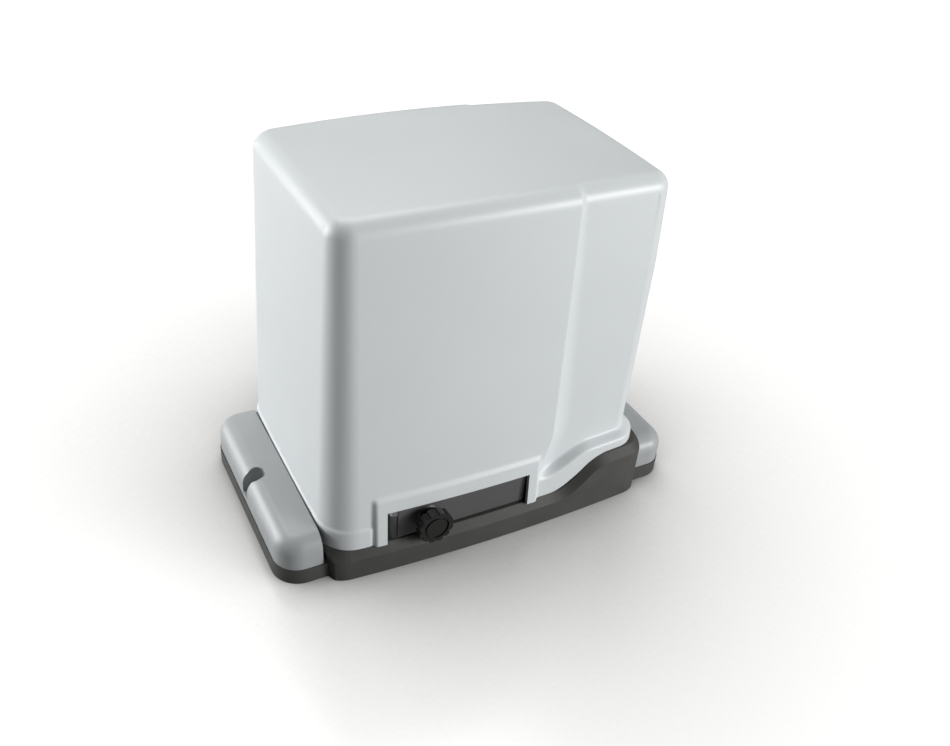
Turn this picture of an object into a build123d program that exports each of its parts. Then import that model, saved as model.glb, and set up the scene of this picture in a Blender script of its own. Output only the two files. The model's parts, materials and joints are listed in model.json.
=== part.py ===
# Sliding gate motor: a dark cast base with a foot at each end, a tall moulded hood,
# and under it a worm gearmotor that drives a rack pinion behind the base.
# Front is -Y, where the release door and its knob are. The pinion is at the back, +Y.
# The origin is the centre of the base's underside, with +Z up. Sizes in millimetres.
from build123d import *
from math import cos, pi, radians, sin, tan
import os

os.makedirs("parts", exist_ok=True)

# Overall sizes
hood_length = 262.0
hood_depth = 188.0
hood_top = 268.0
foot_reach = 33.0
front_bulge = 6.0
side_bulge = 1.0
corner_radius = 22.0

# Base casting
floor_thickness = 6.0
base_wall = 6.0
bevel_inset = 6.0
bevel_rise = 5.0
rim_height = 22.0
rim_rise = 23.0
wave_start = 45.0
wave_end = 97.0
lip_height = 6.0
lip_gap = 1.3
plate_thickness = 12.5
foot_length = 166.0
foot_centre_y = -3.0
foot_radius = 20.0

# Anchor slots and levelling screws in the feet
anchor_pitch_y = 112.0
anchor_set_out = 17.0
anchor_radius = 5.5
anchor_slot = 20.0
levelling_pitch_y = 62.0
levelling_radius = 4.0
levelling_length = 11.5

# Hood shell
hood_wall = 3.0
hood_draft = 2.0
crown_radius = 2800.0
top_fillet = 12.0
strip_top_x = 86.0
strip_foot_x = 60.0
strip_depth = 9.0
strip_fade = 12.0
lip_band = 18.0
skirt_height = 16.0
skirt_out = 1.2
skirt_end_x = -99.0
rear_gap_left = -96.0
rear_gap_right = 18.0
rear_gap_top = 136.0
rear_gap_radius = 30.0

# Release door in the front
door_left = -88.5
door_right = 23.0
door_top = 50.0
door_gap = 0.6
door_thickness = 4.0
door_recess = 2.0
bead_width = 9.0
bead_out = 3.5
bead_top = 12.0
barrel_radius = 7.0
barrel_x = -80.0
barrel_set_back = 8.0
hinge_pin_radius = 3.0
hinge_gap = 0.06
lock_x = -56.8
lock_radius = 8.0
knob_radius = 13.0
knob_thickness = 7.0
knob_stand = 6.0

# Gearing
shaft_x = -52.0
shaft_z = 88.0
gear_module = 2.0
wheel_teeth = 32
wheel_face = 20.0
wheel_front_y = -2.0
worm_radius = 10.0
worm_length = 44.0
thread_backlash = 0.7
pinion_module = 4.0
pinion_teeth = 16
pinion_face = 30.0
pinion_clearance = 10.0
shaft_radius = 12.5
journal_radius = 10.0
release_stroke = 6.0

# Bearings, as outside radius, bore radius and width
shaft_bearing_radius = 21.0
shaft_bearing_width = 12.0
worm_journal_radius = 6.0
lower_bearing_radius = 16.0
lower_bearing_width = 10.0
upper_journal_radius = 8.5
upper_bearing_radius = 20.0
upper_bearing_width = 12.0

# Motor
motor_radius = 52.0
motor_wall = 3.0
motor_foot_z = 143.0
motor_height = 90.0
end_cap_height = 16.0
stator_bore = 28.5
rotor_gap = 0.5
rotor_length = 58.0
stator_length = 62.0

# Room between the board tray, the transformer and the capacitor and the right end
tray_clearance = 15.0
transformer_set_in = 47.0
capacitor_set_in = 39.0

# Running clearance of turning parts, and the gap kept between parts that only meet
running_gap = 0.05
part_gap = 0.3

# Sizes that follow from those above
base_length = hood_length + 2 * bevel_inset
base_depth = hood_depth + 2 * bevel_inset
door_face_y = -hood_depth / 2 + door_recess
barrel_y = door_face_y + barrel_set_back
foot_end_x = hood_length / 2 + foot_reach
wheel_pitch_radius = gear_module * wheel_teeth / 2
worm_x = shaft_x + wheel_pitch_radius + worm_radius
worm_y = wheel_front_y + wheel_face / 2
pinion_pitch_radius = pinion_module * pinion_teeth / 2
pinion_front_y = hood_depth / 2 + pinion_clearance
anchor_x = hood_length / 2 + anchor_set_out
tray_right = hood_length / 2 - tray_clearance

UP = (Align.CENTER, Align.CENTER, Align.MIN)


def along_y(x, y, z):
    """A plane whose normal runs to the back, for parts that lie along Y."""
    return Plane(origin=(x, y, z), x_dir=(1, 0, 0), z_dir=(0, 1, 0))


def upright(y):
    """A plane facing the front at depth y, with local x along X and local y up."""
    return Plane(origin=(0, y, 0), x_dir=(1, 0, 0), z_dir=(0, -1, 0))


def block(x0, x1, y0, y1, z0, z1, mode=Mode.ADD):
    with Locations(((x0 + x1) / 2, (y0 + y1) / 2, z0)):
        Box(x1 - x0, y1 - y0, z1 - z0, align=UP, mode=mode)


def rod_z(x, y, z0, z1, radius, mode=Mode.ADD):
    with Locations((x, y, z0)):
        Cylinder(radius, z1 - z0, align=UP, mode=mode)


def rod_y(x, z, y0, y1, radius, mode=Mode.ADD):
    with Locations(along_y(x, y0, z)):
        Cylinder(radius, y1 - y0, align=UP, mode=mode)


def keep(part, name):
    part.label = name
    export_step(part, f"parts/{name}.step")


def body_outline(length, depth, inset=0.0):
    """Plan of base and hood, drawn in by inset: four bowed sides joined by round corners."""
    end_x = length / 2 - inset
    end_y = depth / 2 - inset
    half_x = end_x - side_bulge
    half_y = end_y - front_bulge
    with BuildSketch() as outline:
        with BuildLine():
            ThreePointArc((-half_x, -half_y), (0, -end_y), (half_x, -half_y))
            ThreePointArc((half_x, -half_y), (end_x, 0), (half_x, half_y))
            ThreePointArc((half_x, half_y), (0, end_y), (-half_x, half_y))
            ThreePointArc((-half_x, half_y), (-end_x, 0), (-half_x, -half_y))
        make_face()
        fillet(outline.vertices(), corner_radius - inset)
    return outline.sketch


def drafted(length, depth, inset, z0, z1, draw):
    """A solid between two plans, drawn in by draw at its top."""
    with BuildPart() as body:
        with BuildSketch(Plane.XY.offset(z0)):
            add(body_outline(length, depth, inset))
        with BuildSketch(Plane.XY.offset(z1)):
            add(body_outline(length, depth, inset + draw))
        loft(ruled=True)
    return body.part


def rim_line(lift=0.0, start=-250.0, end=250.0):
    """The joint between base and hood, seen from the front: level, then a wave up to the right."""
    low = rim_height + lift
    high = low + rim_rise
    Line((start, low), (wave_start, low))
    Spline((wave_start, low), (wave_end, high), tangents=[(1, 0), (1, 0)])
    Line((wave_end, high), (end, high))


def below_rim(lift=0.0, left=-250.0, right=250.0):
    """Everything under the joint line, raised by lift, between two X values."""
    low = rim_height + lift
    high = low + rim_rise
    with BuildPart() as under:
        with BuildSketch(upright(150)):
            with BuildLine():
                rim_line(lift, left, right)
                Line((right, high), (right, -40))
                Line((right, -40), (left, -40))
                Line((left, -40), (left, low))
            make_face()
        extrude(amount=300)
    return under.part


def ring_up(outer, inner, z0, z1):
    """A wall between two plans, from z0 to z1."""
    with BuildPart() as ring:
        with BuildSketch(Plane.XY.offset(z0)):
            add(outer)
            add(inner, mode=Mode.SUBTRACT)
        extrude(amount=z1 - z0)
    return ring.part


# Base casting
base_plan = body_outline(base_length, base_depth)
rim_plan = body_outline(hood_length, hood_depth)
rim_inner_plan = body_outline(hood_length, hood_depth, base_wall)
lip_outer_plan = body_outline(hood_length, hood_depth, hood_wall + lip_gap)
highest_rim = rim_height + rim_rise

with BuildPart() as base_block:
    with BuildSketch():
        add(base_plan)
    extrude(amount=highest_rim + 1)
    add(below_rim(), mode=Mode.INTERSECT)
    rim_edges = base_block.edges().filter_by_position(Axis.Z, rim_height - 0.01, highest_rim + 1)
    rim_edges = [e for e in rim_edges if e.center().Z >= rim_height - 0.01]
    chamfer([e for e in rim_edges if abs(e @ 0 - e @ 1) > 1], length=bevel_rise, length2=bevel_inset)
    with BuildSketch(mode=Mode.PRIVATE) as end_trim:
        add(body_outline(hood_length, base_depth + 2 * bevel_inset))
    extrude(to_extrude=end_trim.sketch, amount=highest_rim + 1, mode=Mode.INTERSECT)

# Base casting, hollowed, with its feet, locating lip and bosses
foot_front = foot_centre_y - foot_length / 2
foot_back = foot_centre_y + foot_length / 2
side_x = hood_length / 2


def foot_plan(shrink=0.0, side=-1):
    """Plan of one foot plate: round outer corners, straight where it meets the body."""
    outer = foot_end_x - shrink
    with BuildSketch() as plan:
        with Locations((side * (side_x - 14 + outer) / 2, foot_centre_y)):
            Rectangle(outer - side_x + 14, foot_length - 2 * shrink)
        far = plan.vertices().filter_by(lambda v: side * v.X > side_x + 1)
        fillet(far, foot_radius - shrink)
    return plan.sketch


cover_screw_x = foot_end_x - 9.5
cover_screw_radius = 2.0
catch_x = lock_x
catch_top = (rim_height + 1.5 + door_top - door_gap) / 2 - lock_radius - 2.5
cable_window = (66.0, -22.0, 50.0, 26.0)
gearbox_bolts = [(-90.0, 2.0), (18.0, 2.0), (-90.0, 74.0), (18.0, 74.0)]
pad_height = floor_thickness + 2.0
hood_screw_z = rim_height + 7.0
hood_screw_rows = [foot_centre_y - 40.0, foot_centre_y + 40.0]
hood_screw_radius = 2.0
tray_legs = [(4.0, -52.0), (tray_right - 10, -52.0)]

with BuildPart() as base_casting:
    add(base_block.part)
    with BuildSketch():
        add(foot_plan(0, -1))
        add(foot_plan(0, 1))
    extrude(amount=plate_thickness)
    with BuildSketch(Plane.XY.offset(floor_thickness)):
        add(rim_inner_plan)
    extrude(amount=highest_rim, mode=Mode.SUBTRACT)
    # anchor slots and tapped levelling holes
    for side in (-1, 1):
        for row in (-1, 1):
            with BuildSketch():
                with Locations((side * anchor_x, foot_centre_y + row * anchor_pitch_y / 2)):
                    SlotOverall(anchor_slot, 2 * anchor_radius)
            extrude(amount=plate_thickness, mode=Mode.SUBTRACT)
            rod_z(
                side * anchor_x, foot_centre_y + row * levelling_pitch_y / 2, 0, plate_thickness,
                levelling_radius + running_gap, Mode.SUBTRACT,
            )
        rod_z(
            side * cover_screw_x, foot_centre_y, 0, plate_thickness,
            cover_screw_radius + running_gap, Mode.SUBTRACT,
        )
    # cable window through the floor, and the pads that carry the gearbox
    with BuildSketch():
        with Locations(cable_window[:2]):
            RectangleRounded(cable_window[2], cable_window[3], 6)
    extrude(amount=floor_thickness, mode=Mode.SUBTRACT)
    for x, y in gearbox_bolts:
        rod_z(x, y, floor_thickness, pad_height, 11)
    # boss for the hinge pin and the catch that the lock's tongue goes behind
    rod_z(barrel_x, barrel_y, floor_thickness, rim_height + 1.5, barrel_radius)
    block(
        catch_x - 6, catch_x + 6, door_face_y + door_thickness + part_gap,
        door_face_y + door_thickness + 3, floor_thickness, catch_top,
    )

with BuildPart() as lip:
    add(ring_up(lip_outer_plan, rim_inner_plan, floor_thickness, highest_rim + lip_height))
    add(below_rim(lip_height), mode=Mode.INTERSECT)
    block(
        door_left - bead_width, door_right + bead_width, -hood_depth, 0,
        rim_height, highest_rim + 10, Mode.SUBTRACT,
    )
    block(
        rear_gap_left - 4, rear_gap_right + 4, 0, hood_depth, rim_height, highest_rim + 10,
        Mode.SUBTRACT,
    )
    # open slots at the left end for the hood's screws
    for y in hood_screw_rows:
        block(
            -side_x - 1, 0, y - hood_screw_radius - part_gap, y + hood_screw_radius + part_gap,
            rim_height, highest_rim + 10, Mode.SUBTRACT,
        )

with BuildPart() as base_whole:
    add(base_casting.part)
    add(lip.part)
    rod_z(barrel_x, barrel_y, floor_thickness, rim_height + 2, hinge_pin_radius, Mode.SUBTRACT)
keep(base_whole.part, "base_casting")


# Hood: a drafted shell with a crowned top
def hood_body(wall=0.0):
    """The hood's full form, drawn in by wall, without recess or openings."""
    height = hood_top - rim_height
    draw = (height + 2) * tan(radians(hood_draft))
    with BuildPart() as form:
        add(drafted(hood_length, hood_depth, wall, rim_height, hood_top + 2, draw))
        with Locations((0, 0, hood_top - wall - crown_radius)):
            Sphere(crown_radius, mode=Mode.INTERSECT)
        fillet(form.faces().sort_by(Axis.Z)[-1].edges(), top_fillet - wall)
    return form.part


def strip_cut(wall=0.0):
    """What is cut away for the sunk strip at the right end, from nothing at the top to full
    depth above the band along the lower edge."""
    foot = rim_height + rim_rise
    fade_z = hood_top - strip_fade
    drawn_in = (fade_z - rim_height) * tan(radians(hood_draft))
    top = hood_top + 6
    draw = (drawn_in - strip_depth) * (top - foot) / (fade_z - foot)
    core = drafted(hood_length, hood_depth, strip_depth + wall, foot, top, draw)
    with BuildPart() as region:
        with BuildSketch(upright(150)):
            with BuildLine():
                low = rim_height + lip_band - wall
                high = low + rim_rise
                edge = strip_foot_x - wall
                Line((edge, top), (edge, low + 8))
                Line((edge, low + 8), (wave_end, high))
                Line((wave_end, high), (hood_length, high))
                Line((hood_length, high), (hood_length, top))
                Line((hood_length, top), (edge, top))
            make_face()
        extrude(amount=300)
        slant = (strip_top_x - strip_foot_x) / (hood_top - rim_height - lip_band)
        with BuildSketch(upright(150)):
            with BuildLine():
                Polyline(
                    (edge - 1, low), (edge, low), (edge + slant * (top - low), top), (edge - 1, top), (edge - 1, low)
                )
            make_face()
        extrude(amount=300, mode=Mode.SUBTRACT)
        add(core, mode=Mode.SUBTRACT)
    return region.part


def door_frame(grow=0.0):
    """Outline of the door opening seen from the front, grown on its free sides."""
    with BuildSketch(upright(-hood_depth)) as frame:
        with BuildLine():
            left, right = door_left - grow, door_right + grow
            high = door_top + (bead_top if grow else 0)
            Polyline((left, 0), (right, 0), (right, high), (left, high), (left, 0))
        make_face()
        top = frame.vertices().filter_by(lambda v: v.Z > high - 1)
        fillet(top, 2.0 + grow * 0.4)
    return frame.sketch


with BuildPart() as bead:
    extrude(to_extrude=door_frame(bead_width), amount=-hood_depth / 2 - 40)
    add(
        drafted(hood_length, hood_depth, -bead_out, rim_height, door_top + 2 * bead_top, bead_out),
        mode=Mode.INTERSECT,
    )

with BuildPart() as skirt:
    add(drafted(hood_length, hood_depth, -skirt_out, rim_height, rim_height + skirt_height, 0.3))
    block(skirt_end_x, 200, -200, 200, 0, 200, Mode.SUBTRACT)

with BuildPart() as hood_space:
    add(hood_body(hood_wall))
    add(strip_cut(hood_wall), mode=Mode.SUBTRACT)

rear_gap_x = (rear_gap_left + rear_gap_right) / 2
rear_gap_width = rear_gap_right - rear_gap_left

with BuildPart() as hood:
    add(hood_body())
    add(strip_cut(), mode=Mode.SUBTRACT)
    add(bead.part)
    add(skirt.part)
    add(below_rim(), mode=Mode.SUBTRACT)
    add(hood_space.part, mode=Mode.SUBTRACT)
    extrude(to_extrude=door_frame(), amount=-hood_depth / 2 - 50, mode=Mode.SUBTRACT)
    # arch in the back wall for the shaft, the pinion and the limit switch
    with BuildSketch(upright(hood_depth / 2 + 20)) as arch:
        with Locations((rear_gap_x, rear_gap_top / 2)):
            Rectangle(rear_gap_width, rear_gap_top)
        fillet(arch.vertices().filter_by(lambda v: v.Z > rear_gap_top - 1), rear_gap_radius)
    extrude(amount=60, mode=Mode.SUBTRACT)
    # holes for the screws at the left end
    for y in hood_screw_rows:
        with Locations(Plane(origin=(-side_x - 5, y, hood_screw_z), z_dir=(1, 0, 0))):
            Cylinder(hood_screw_radius + running_gap, 20, align=UP, mode=Mode.SUBTRACT)
keep(hood.part, "hood")

screw_head_radius = 4.0
screw_head = 2.4
with BuildPart() as hood_screws:
    for y in hood_screw_rows:
        face_x = side_x + skirt_out + part_gap
        with Locations(Plane(origin=(-face_x, y, hood_screw_z), z_dir=(-1, 0, 0))):
            Cylinder(screw_head_radius, screw_head, align=UP)
            Cylinder(hood_screw_radius, 11, align=(Align.CENTER, Align.CENTER, Align.MAX))
keep(hood_screws.part, "hood_screws")


# Covers over the two feet: low domes, open underneath and towards the hood
cover_rise = 24.0
cover_wall = 2.5
cover_round = 12.0
cover_gap = 1.6


def foot_dome(shrink, side):
    """The dome's full form, or with shrink the space inside it."""
    inner_x = side_x + cover_gap - (20 if shrink else 0)
    outer_x = foot_end_x - 1 - shrink
    length = foot_length - 2 - 2 * shrink
    top = plate_thickness + cover_rise - shrink
    with BuildPart() as dome:
        with BuildSketch(Plane.XY.offset(plate_thickness + (0 if not shrink else -1))):
            with Locations((side * (inner_x + outer_x) / 2, foot_centre_y)):
                Rectangle(outer_x - inner_x, length)
        extrude(amount=top - plate_thickness + (0 if not shrink else 1))
        upright_edges = dome.edges().filter_by(Axis.Z)
        fillet([e for e in upright_edges if side * e.center().X > side_x + 5], foot_radius - 2 - shrink)
        top_edges = dome.faces().sort_by(Axis.Z)[-1].edges()
        fillet([e for e in top_edges if side * e.center().X > inner_x + 0.5], cover_round - shrink)
    return dome.part


def foot_cover(side):
    with BuildPart() as cover:
        add(foot_dome(0, side))
        add(foot_dome(cover_wall, side), mode=Mode.SUBTRACT)
        # round pocket from outside, down to a floor that the screw holds
        pocket = 9.0
        rod_z(side * cover_screw_x, foot_centre_y, plate_thickness, plate_thickness + cover_rise, pocket)
        rod_z(
            side * cover_screw_x, foot_centre_y, plate_thickness + 5, plate_thickness + cover_rise + 5,
            pocket - 2, Mode.SUBTRACT,
        )
        with BuildSketch(Plane.XY.offset(plate_thickness + 5)):
            with Locations((side * (cover_screw_x + 12), foot_centre_y)):
                Rectangle(24, 2 * pocket - 7)
        extrude(amount=cover_rise, mode=Mode.SUBTRACT)
        add(foot_dome(0, side), mode=Mode.INTERSECT)
        rod_z(side * cover_screw_x, foot_centre_y, 0, 60, cover_screw_radius + running_gap, Mode.SUBTRACT)
    return cover.part


for side, name in ((-1, "left"), (1, "right")):
    keep(foot_cover(side), f"foot_cover_{name}")
    with BuildPart() as cover_screw:
        x = side * cover_screw_x
        rod_z(x, foot_centre_y, plate_thickness + 5, plate_thickness + 5 + screw_head, screw_head_radius)
        rod_z(x, foot_centre_y, plate_thickness - 6, plate_thickness + 5, cover_screw_radius)
        rod_z(
            x, foot_centre_y, plate_thickness + 5 + screw_head - 1, plate_thickness + 10, 1.6, Mode.SUBTRACT
        )
    keep(cover_screw.part, f"foot_cover_screw_{name}")

with BuildPart() as levelling_screws:
    for side in (-1, 1):
        for row in (-1, 1):
            y = foot_centre_y + row * levelling_pitch_y / 2
            rod_z(side * anchor_x, y, 0.2, 0.2 + levelling_length, levelling_radius)
            with BuildSketch(Plane.XY.offset(0.2 + levelling_length)):
                with Locations((side * anchor_x, y)):
                    RegularPolygon(2.4, 6)
            extrude(amount=-4, mode=Mode.SUBTRACT)
keep(levelling_screws.part, "levelling_screws")


# Release lever: a door panel that turns on an upright pin, with the lock in it
panel_low = rim_height + 1.5
panel_high = door_top - door_gap
cam_height = 5.8
barrel_top = panel_high - cam_height - part_gap
panel_back_y = door_face_y + door_thickness
lock_z = (panel_low + panel_high) / 2

with BuildPart() as release_lever:
    block(barrel_x, door_right - door_gap, door_face_y, panel_back_y, panel_low, panel_high)
    block(barrel_x + 12, door_right - 6, panel_back_y, panel_back_y + 4, panel_high - 3, panel_high)
    block(barrel_x + 40, door_right - 6, panel_back_y, panel_back_y + 4, panel_low + 6, panel_low + 8)
    block(barrel_x, barrel_x + 12, door_face_y, barrel_y + 3, panel_low, barrel_top)
    rod_z(barrel_x, barrel_y, panel_low, barrel_top, barrel_radius)
    rod_z(barrel_x, barrel_y, barrel_top, panel_high + 1, barrel_radius + part_gap, Mode.SUBTRACT)
    rod_z(barrel_x, barrel_y, panel_low, barrel_top, hinge_pin_radius + hinge_gap, Mode.SUBTRACT)
    rod_y(lock_x, lock_z, door_face_y, panel_back_y + 6, lock_radius + 2)
    rod_y(lock_x, lock_z, door_face_y, panel_back_y + 6, lock_radius, Mode.SUBTRACT)
keep(release_lever.part, "release_lever")

# Snail cam on top of the barrel: its radius grows evenly over the quarter turn
cam_base = barrel_radius + 1
with BuildPart() as release_cam:
    with BuildSketch(Plane.XY.offset(barrel_top)):
        Circle(barrel_radius)
        with BuildLine():
            spiral = [
                (
                    (cam_base + release_stroke * k / 6) * cos(radians(90 + 15 * k)),
                    (cam_base + release_stroke * k / 6) * sin(radians(90 + 15 * k)),
                )
                for k in range(7)
            ]
            Spline(*spiral)
            Line(spiral[-1], (-barrel_radius * 0.9, -barrel_radius * 0.4))
            Line((-barrel_radius * 0.9, -barrel_radius * 0.4), (0, 0))
            Line((0, 0), (barrel_radius * 0.7, barrel_radius * 0.7))
            Line((barrel_radius * 0.7, barrel_radius * 0.7), spiral[0])
        make_face()
        Circle(hinge_pin_radius + hinge_gap, mode=Mode.SUBTRACT)
    extrude(amount=cam_height)
release_cam.part.position = (barrel_x, barrel_y, 0)
keep(release_cam.part, "release_cam")

slider_z = panel_high + 1.6
with BuildPart() as hinge_pin:
    rod_z(barrel_x, barrel_y, floor_thickness, slider_z - 0.4, hinge_pin_radius)
keep(hinge_pin.part, "release_hinge_pin")

with BuildPart() as lock_barrel:
    rod_y(lock_x, lock_z, door_face_y - 1.0, panel_back_y + 6, lock_radius)
    rod_y(lock_x, lock_z, door_face_y - 1.0, panel_back_y + 6, 4 + running_gap, Mode.SUBTRACT)
keep(lock_barrel.part, "lock_barrel")

# Knob: a ribbed disc on a cone, with a spindle through the lock's barrel
knob_back_y = door_face_y - 1.0 - part_gap
knob_face_y = knob_back_y - knob_stand - knob_thickness
with BuildPart() as lock_knob:
    rod_y(lock_x, lock_z, knob_back_y, panel_back_y + 9.4, 4)
    with Locations(along_y(lock_x, knob_face_y + knob_thickness, lock_z)):
        Cone(knob_radius - 3, lock_radius - 1.5, knob_stand, align=UP)
    rod_y(lock_x, lock_z, knob_face_y, knob_face_y + knob_thickness, knob_radius)
    with Locations(along_y(lock_x, knob_face_y, lock_z)):
        with PolarLocations(knob_radius, 12):
            Cylinder(1.5, knob_thickness, align=UP, mode=Mode.SUBTRACT)
    with BuildSketch(upright(knob_face_y)):
        with Locations((lock_x, lock_z)):
            Circle(knob_radius - 3.6)
            Circle(knob_radius - 5.2, mode=Mode.SUBTRACT)
    extrude(amount=-1.2, mode=Mode.SUBTRACT)
    with BuildSketch(upright(knob_face_y + 2)):
        with Locations((lock_x, lock_z - knob_radius)):
            Triangle(a=5, b=4, c=4)
    extrude(amount=-4)
keep(lock_knob.part, "lock_knob")

tongue_y = panel_back_y + 6 + part_gap
with BuildPart() as lock_tongue:
    block(lock_x - 5, lock_x + 14, tongue_y, tongue_y + 3, lock_z - 3.5, lock_z + 3.5)
    rod_y(lock_x, lock_z, tongue_y, tongue_y + 3, 4 + 1.5)
    rod_y(lock_x, lock_z, tongue_y, tongue_y + 3, 4, Mode.SUBTRACT)
keep(lock_tongue.part, "lock_tongue")


# Release slider: the roller on it runs on the cam, its tab pushes the pin in the shaft
roller_radius = 3.0
roller_y = barrel_y + cam_base + roller_radius + 0.35
slider_thickness = 3.0
slider_top = slider_z + slider_thickness
tab_y = worm_y - 54.0
pin_end_y = tab_y + 4 + part_gap
guide_z = slider_z - part_gap - 3.0
guide_front_y = roller_y + roller_radius + release_stroke + 1.5
slot_width = 6.0 + 2 * part_gap
slot_length = release_stroke + slot_width + 1
slider_slots = [(barrel_x + 2, guide_front_y + 8), (shaft_x + 4, guide_front_y + 8)]

with BuildPart() as release_slider:
    block(barrel_x - 8, shaft_x + 10, roller_y - 5, tab_y + 4, slider_z, slider_top)
    rod_z(barrel_x, roller_y, guide_z - 3.5, slider_z, roller_radius)
    block(shaft_x - 8, shaft_x + 8, tab_y, tab_y + 4, slider_z, shaft_z + 8)
    for x, y in slider_slots:
        with BuildSketch(Plane.XY.offset(slider_z)):
            with Locations((x, y)):
                SlotOverall(slot_length, slot_width, rotation=90)
        extrude(amount=slider_thickness, mode=Mode.SUBTRACT)
keep(release_slider.part, "release_slider")


# Gearbox: one casting with a drum for the wheel, a tower for the worm and a neck for the shaft
chamber_radius = wheel_pitch_radius + gear_module + 3.0
drum_radius = chamber_radius + 7.0
drum_back_y = worm_y + 26.0
neck_radius = shaft_bearing_radius + 6.0
worm_tip = worm_radius + gear_module
tower_radius = upper_bearing_radius + 5.0
cover_flange_y = worm_y - tower_radius - 1.0
tower_low_z = shaft_z - worm_length / 2 - lower_bearing_width - 6.0
tower_top_z = motor_foot_z
rear_bearing_y = hood_depth / 2 - 16.0
seal_width = 7.0
neck_end_y = rear_bearing_y + shaft_bearing_width + seal_width
flange_thickness = 7.0
collar_y = rear_bearing_y - 24.0

with BuildPart() as gearbox_housing:
    rod_y(shaft_x, shaft_z, cover_flange_y, drum_back_y, drum_radius)
    rod_y(shaft_x, shaft_z, drum_back_y, neck_end_y, neck_radius)
    with Locations(along_y(shaft_x, drum_back_y, shaft_z)):
        Cone(drum_radius, neck_radius, 16, align=UP)
    rod_z(worm_x, worm_y, tower_low_z, tower_top_z, tower_radius)
    rod_z(worm_x, worm_y, tower_top_z - flange_thickness, tower_top_z, motor_radius + 4)
    # foot plate on the pads, with webs up to the drum and neck
    with BuildSketch(Plane.XY.offset(pad_height)):
        with Locations((shaft_x + 16, 38)):
            RectangleRounded(132, 92, 10)
    extrude(amount=8)
    block(shaft_x - 34, shaft_x - 24, cover_flange_y, 80, pad_height, shaft_z)
    block(shaft_x + 14, shaft_x + 24, cover_flange_y, 80, pad_height, shaft_z)
    block(worm_x - 6, worm_x + 6, worm_y, worm_y + 40, pad_height, tower_low_z + 30)
    for turn in range(12):
        with Locations(Location((worm_x, worm_y, 0), (0, 0, 30 * turn + 15))):
            with Locations((tower_radius + 10, 0, tower_top_z - flange_thickness - 14)):
                Box(24, 4, 14, align=UP)
    # spaces for the wheel, clutch, shaft, worm and their bearings
    rod_y(shaft_x, shaft_z, cover_flange_y, wheel_front_y + wheel_face + 12, chamber_radius, Mode.SUBTRACT)
    rod_y(shaft_x, shaft_z, worm_y, collar_y, 25, Mode.SUBTRACT)
    rod_y(shaft_x, shaft_z, worm_y, neck_end_y, 17, Mode.SUBTRACT)
    rod_y(
        shaft_x, shaft_z, rear_bearing_y, neck_end_y, shaft_bearing_radius, Mode.SUBTRACT
    )
    worm_low = shaft_z - worm_length / 2 - 4
    rod_z(worm_x, worm_y, worm_low, tower_top_z, worm_tip + 2, Mode.SUBTRACT)
    rod_z(worm_x, worm_y, worm_low - lower_bearing_width, worm_low, lower_bearing_radius, Mode.SUBTRACT)
    rod_z(
        worm_x, worm_y, tower_top_z - upper_bearing_width, tower_top_z, upper_bearing_radius,
        Mode.SUBTRACT,
    )
    for x, y in gearbox_bolts:
        rod_z(x, y, 0, 40, 4 + running_gap, Mode.SUBTRACT)
        rod_z(x, y, pad_height + 8, 32, 9, Mode.SUBTRACT)
    rod_y(
        shaft_x, shaft_z, cover_flange_y - 20, cover_flange_y, drum_radius + part_gap, Mode.SUBTRACT
    )
keep(gearbox_housing.part, "gearbox_housing")

cover_bolt_ring = drum_radius - 3.5
with BuildPart() as gearbox_cover:
    rod_y(shaft_x, shaft_z, cover_flange_y - 6, cover_flange_y, drum_radius)
    with Locations(along_y(shaft_x, cover_flange_y - 10, shaft_z)):
        Cone(neck_radius, neck_radius + 3, 4, align=UP)
    rod_y(shaft_x, shaft_z, cover_flange_y - 10, cover_flange_y + 4, neck_radius - 2)
    rod_y(shaft_x, shaft_z, cover_flange_y - 10 + 2, cover_flange_y + 4, shaft_bearing_radius, Mode.SUBTRACT)
    rod_y(shaft_x, shaft_z, cover_flange_y - 20, cover_flange_y + 4, shaft_radius + 1, Mode.SUBTRACT)
    with Locations(along_y(shaft_x, cover_flange_y - 6, shaft_z)):
        with PolarLocations(cover_bolt_ring, 6, start_angle=30):
            Cylinder(2.5 + running_gap, 30, align=(Align.CENTER, Align.CENTER, Align.CENTER), mode=Mode.SUBTRACT)
keep(gearbox_cover.part, "gearbox_cover")

with BuildPart() as gearbox_cover_screws:
    with Locations(along_y(shaft_x, cover_flange_y - 6, shaft_z)):
        with PolarLocations(cover_bolt_ring, 6, start_angle=30):
            Cylinder(2.5, 6, align=UP)
            Cylinder(4.2, 4.5, align=(Align.CENTER, Align.CENTER, Align.MAX))
keep(gearbox_cover_screws.part, "gearbox_cover_screws")

with BuildPart() as gearbox_mounting_bolts:
    for x, y in gearbox_bolts:
        rod_z(x, y, pad_height, pad_height + 8, 4)
        with BuildSketch(Plane.XY.offset(pad_height + 8)):
            with Locations((x, y)):
                RegularPolygon(7.2, 6)
        extrude(amount=5.5)
keep(gearbox_mounting_bolts.part, "gearbox_bolts")


front_bearing_y = cover_flange_y - 8.0
with BuildPart() as shaft_bearings:
    for y in (front_bearing_y, rear_bearing_y):
        rod_y(shaft_x, shaft_z, y, y + shaft_bearing_width, shaft_bearing_radius)
        rod_y(shaft_x, shaft_z, y, y + shaft_bearing_width, journal_radius + running_gap, Mode.SUBTRACT)
keep(shaft_bearings.part, "shaft_bearings")

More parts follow.
